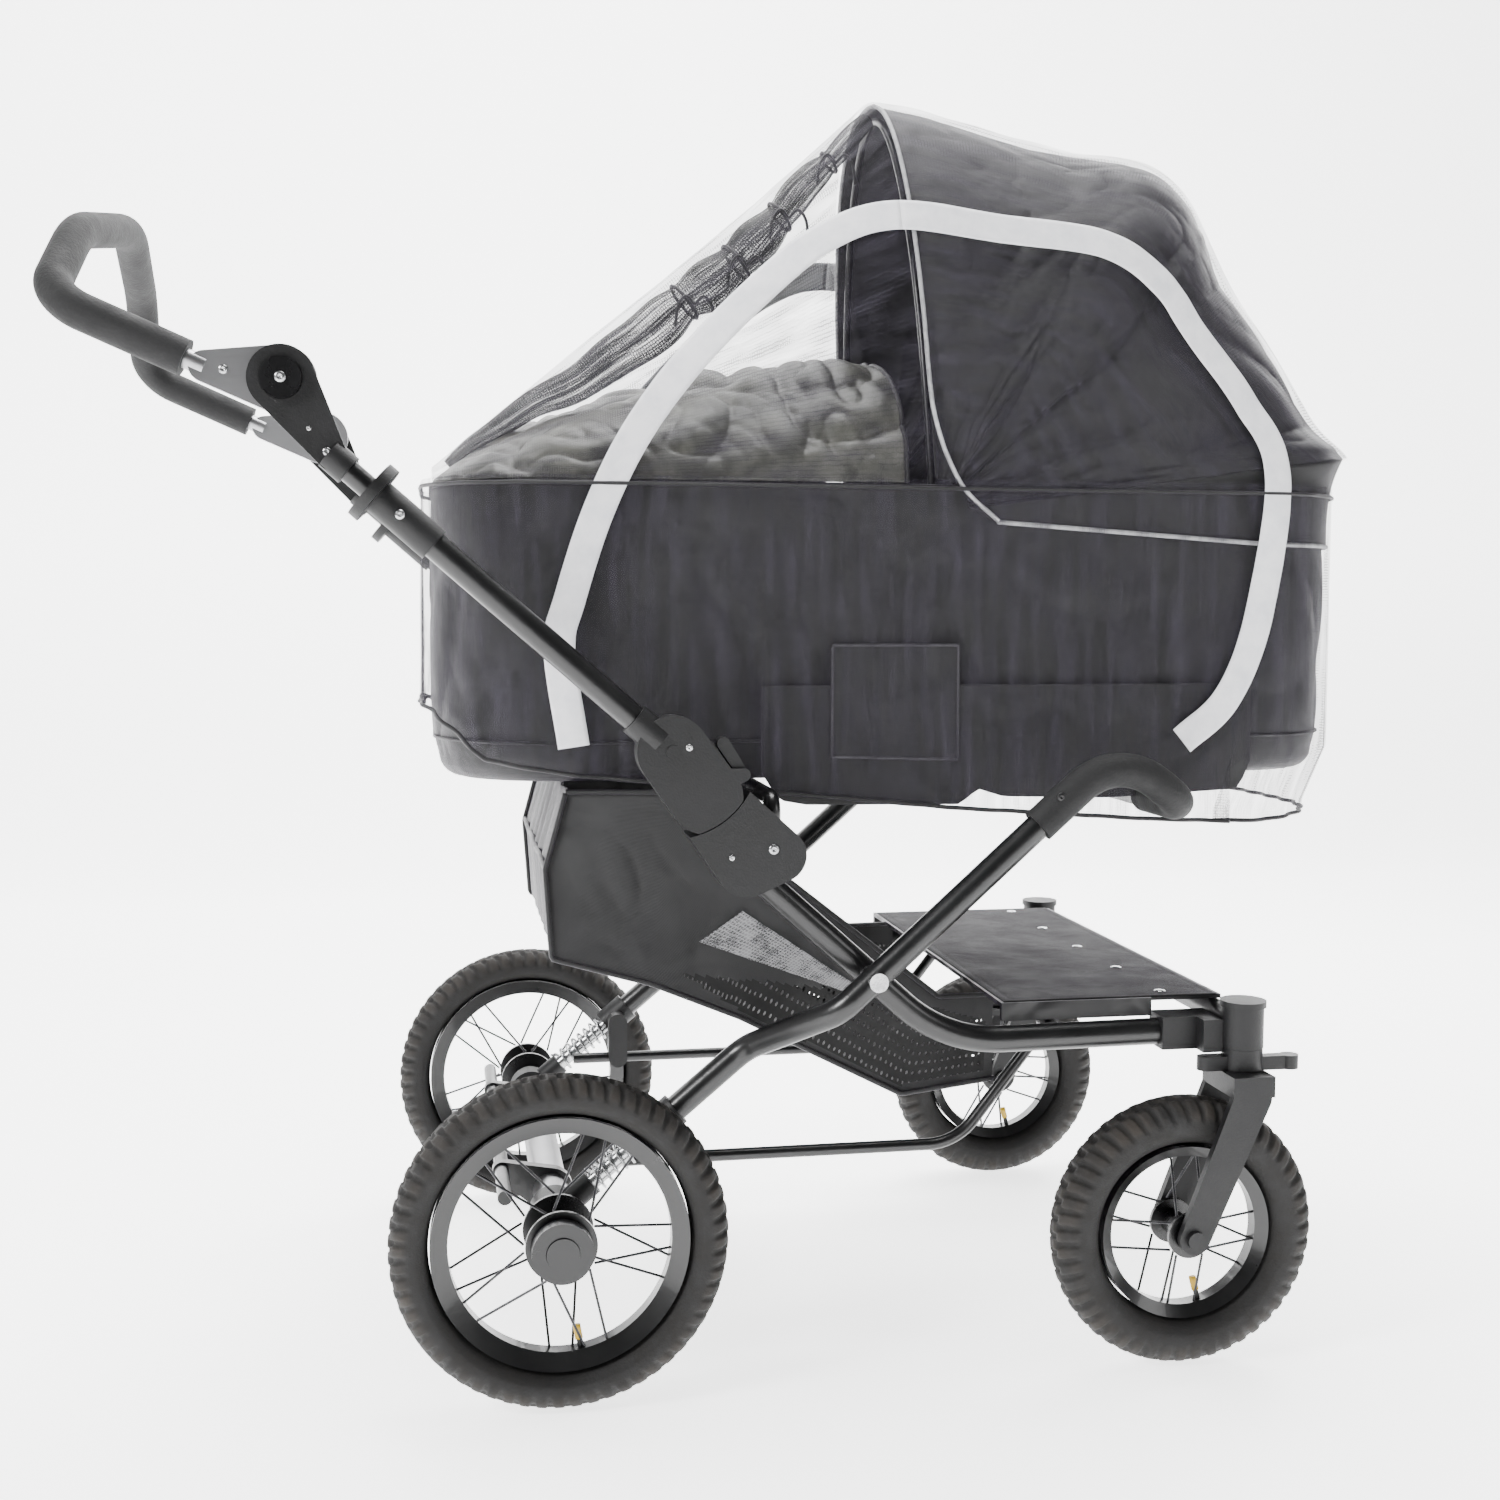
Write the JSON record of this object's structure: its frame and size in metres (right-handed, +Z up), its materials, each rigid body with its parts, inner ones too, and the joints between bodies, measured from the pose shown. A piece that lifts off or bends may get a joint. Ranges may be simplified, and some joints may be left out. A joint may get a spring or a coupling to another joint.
{
  "type": "pet stroller",
  "caption": "Pram-style pet stroller: netted carrycot with folding hood on a crossed tube frame, swivelling front casters, sprung rear axle and a folding, telescopic handle.",
  "frame": {"origin": "on the floor, under the middle of the stroller's overall box", "axes": "+X forward, the way it is pushed; +Y to the left; +Z up"},
  "size_m": [1.297, 0.68, 1.2636],
  "materials": {
    "frame_paint": "satin powder coat",
    "black_nylon": "fine moulded grain",
    "button_plastic": "moulded",
    "grip_foam": "closed-cell foam",
    "bare_aluminium": "satin",
    "bright_steel": "zinc plated",
    "black_canvas": "woven polyester",
    "mattress_cover": "quilted cover",
    "grey_satin": "crumpled satin weave",
    "fine_net": "open mesh",
    "tyre_rubber": "dusty tread rubber",
    "rim_black": "black painted alloy",
    "spoke_steel": "dark drawn wire",
    "hub_plastic": "moulded"
  },
  "bodies": {
    "chassis": {"side_tube_right": "frame_paint", "side_tube_left": "frame_paint", "support_tube_right": "frame_paint", "support_tube_left": "frame_paint", "arch_foam": "grip_foam", "frame_connectors": "black_nylon", "frame_fasteners": "bright_steel", "cross_bars": "frame_paint", "tie_rods": "frame_paint", "lower_housings": "black_nylon", "deck_panel": "black_canvas", "basket": "black_canvas"},
    "axle_unit": {"rear_axle_tube": "bare_aluminium", "axle_fittings": "black_nylon", "suspension_plungers": "bright_steel", "suspension_springs": "bright_steel"},
    "brake": {"brake_bar": "frame_paint"},
    "handle": {"upper_housings": "black_nylon", "outer_tubes": "frame_paint"},
    "telescope": {"inner_tubes": "frame_paint", "hinge_arms": "black_nylon"},
    "grip": {"grip_frame": "bare_aluminium", "grip_foam": "grip_foam"},
    "cot": {"cot_shell": "black_canvas", "mattress": "mattress_cover", "apron": "grey_satin", "hood_cover": "black_canvas", "bow_pivots": "button_plastic", "net": "fine_net"},
    "hood_front": {"front_bow": "frame_paint"},
    "hood_middle": {"middle_bow": "frame_paint"},
    "rear_wheel_right": {"rear_right_tyre": "tyre_rubber", "rear_right_rim": "rim_black", "rear_right_spokes": "spoke_steel", "rear_right_hub": "hub_plastic"},
    "hub_button_right": {"rear_right_hub_button": "button_plastic"},
    "caster_right": {"caster_fork_right": "black_nylon"},
    "front_wheel_right": {"front_right_tyre": "tyre_rubber", "front_right_rim": "rim_black", "front_right_spokes": "spoke_steel", "front_right_hub": "hub_plastic"},
    "lock_right": {"lock_lever_right": "black_nylon"},
    "collar_right": {"release_collar_right": "black_nylon"},
    "latch_right": {"fold_latch_right": "black_nylon"},
    "angle_button_right": {"angle_button_right": "button_plastic"},
    "rear_wheel_left": {"rear_left_tyre": "tyre_rubber", "rear_left_rim": "rim_black", "rear_left_spokes": "spoke_steel", "rear_left_hub": "hub_plastic"},
    "hub_button_left": {"rear_left_hub_button": "button_plastic"},
    "caster_left": {"caster_fork_left": "black_nylon"},
    "front_wheel_left": {"front_left_tyre": "tyre_rubber", "front_left_rim": "rim_black", "front_left_spokes": "spoke_steel", "front_left_hub": "hub_plastic"},
    "lock_left": {"lock_lever_left": "black_nylon"},
    "collar_left": {"release_collar_left": "black_nylon"},
    "latch_left": {"fold_latch_left": "black_nylon"},
    "angle_button_left": {"angle_button_left": "button_plastic"}
  },
  "joints": [
    {"name": "suspension", "type": "slide", "parent": "chassis", "child": "axle_unit", "axis": [0.7686, 0, 0.6398], "range_m": [0, 0.012], "stiffness_N_per_m": 9000, "springref_m": -0.03, "deforming": ["suspension_springs"]},
    {"name": "brake_pedal", "type": "hinge", "parent": "axle_unit", "child": "brake", "pos_m": [-0.20458, 0, 0.156], "axis": [0, -1, 0], "range_deg": [0, 18]},
    {"name": "rear_spin_right", "type": "hinge", "parent": "axle_unit", "child": "rear_wheel_right", "pos_m": [-0.20458, -0.299, 0.156], "axis": [0, 1, 0], "continuous": true},
    {"name": "hub_release_right", "type": "slide", "parent": "rear_wheel_right", "child": "hub_button_right", "axis": [0, 1, 0], "range_m": [0, 0.003], "stiffness_N_per_m": 900, "springref_m": -0.002},
    {"name": "caster_swivel_right", "type": "hinge", "parent": "chassis", "child": "caster_right", "pos_m": [0.45942, -0.299, 0.31], "axis": [0, 0, 1], "continuous": true},
    {"name": "front_spin_right", "type": "hinge", "parent": "caster_right", "child": "front_wheel_right", "pos_m": [0.39942, -0.299, 0.132], "axis": [0, 1, 0], "continuous": true},
    {"name": "swivel_lock_right", "type": "hinge", "parent": "chassis", "child": "lock_right", "pos_m": [0.45942, -0.299, 0.3], "axis": [0, 0, 1], "range_deg": [-20, 20]},
    {"name": "collar_release_right", "type": "slide", "parent": "handle", "child": "collar_right", "axis": [0.7513, 0, -0.66], "range_m": [0, 0.008], "stiffness_N_per_m": 1500, "springref_m": -0.004},
    {"name": "fold_latch_right", "type": "hinge", "parent": "handle", "child": "latch_right", "pos_m": [-0.0343, -0.2895, 0.58321], "axis": [0, 1, 0], "range_deg": [0, 18], "stiffness_Nm_per_rad": 0.5, "springref_deg": -11.46},
    {"name": "angle_press_right", "type": "slide", "parent": "telescope", "child": "angle_button_right", "axis": [0, 1, 0], "range_m": [0, 0.003], "stiffness_N_per_m": 900, "springref_m": -0.002},
    {"name": "rear_spin_left", "type": "hinge", "parent": "axle_unit", "child": "rear_wheel_left", "pos_m": [-0.20458, 0.299, 0.156], "axis": [0, 1, 0], "continuous": true},
    {"name": "hub_release_left", "type": "slide", "parent": "rear_wheel_left", "child": "hub_button_left", "axis": [0, -1, 0], "range_m": [0, 0.003], "stiffness_N_per_m": 900, "springref_m": -0.002},
    {"name": "caster_swivel_left", "type": "hinge", "parent": "chassis", "child": "caster_left", "pos_m": [0.45942, 0.299, 0.31], "axis": [0, 0, 1], "continuous": true},
    {"name": "front_spin_left", "type": "hinge", "parent": "caster_left", "child": "front_wheel_left", "pos_m": [0.39942, 0.299, 0.132], "axis": [0, 1, 0], "continuous": true},
    {"name": "swivel_lock_left", "type": "hinge", "parent": "chassis", "child": "lock_left", "pos_m": [0.45942, 0.299, 0.3], "axis": [0, 0, 1], "range_deg": [-20, 20]},
    {"name": "collar_release_left", "type": "slide", "parent": "handle", "child": "collar_left", "axis": [0.7513, 0, -0.66], "range_m": [0, 0.008], "stiffness_N_per_m": 1500, "springref_m": -0.004},
    {"name": "fold_latch_left", "type": "hinge", "parent": "handle", "child": "latch_left", "pos_m": [-0.0343, 0.2895, 0.58321], "axis": [0, 1, 0], "range_deg": [0, 18], "stiffness_Nm_per_rad": 0.5, "springref_deg": -11.46},
    {"name": "angle_press_left", "type": "slide", "parent": "telescope", "child": "angle_button_left", "axis": [0, -1, 0], "range_m": [0, 0.003], "stiffness_N_per_m": 900, "springref_m": -0.002},
    {"name": "handle_fold", "type": "hinge", "parent": "chassis", "child": "handle", "pos_m": [-0.09958, 0, 0.605], "axis": [0, -1, 0], "range_deg": [0, 85]},
    {"name": "handle_telescope", "type": "slide", "parent": "handle", "child": "telescope", "axis": [-0.7513, 0, 0.66], "range_m": [-0.02, 0.1]},
    {"name": "handle_angle", "type": "hinge", "parent": "telescope", "child": "grip", "pos_m": [-0.43958, 0, 0.93298], "axis": [0, -1, 0], "range_deg": [-45, 60]},
    {"name": "cot_lift", "type": "slide", "parent": "chassis", "child": "cot", "axis": [0, 0, 1], "range_m": [0, 0.3]},
    {"name": "hood_front_fold", "type": "hinge", "parent": "cot", "child": "hood_front", "pos_m": [0.17542, 0, 0.828], "axis": [0, 1, 0], "range_deg": [0, 60], "deforming": ["hood_cover", "net"]},
    {"name": "hood_middle_fold", "type": "hinge", "parent": "cot", "child": "hood_middle", "pos_m": [0.17542, 0, 0.828], "axis": [0, 1, 0], "range_deg": [0, 30]}
  ],
  "couplings": [
    {"joint": "hood_middle_fold", "follows": "hood_front_fold", "ratio": 0.5}
  ]
}
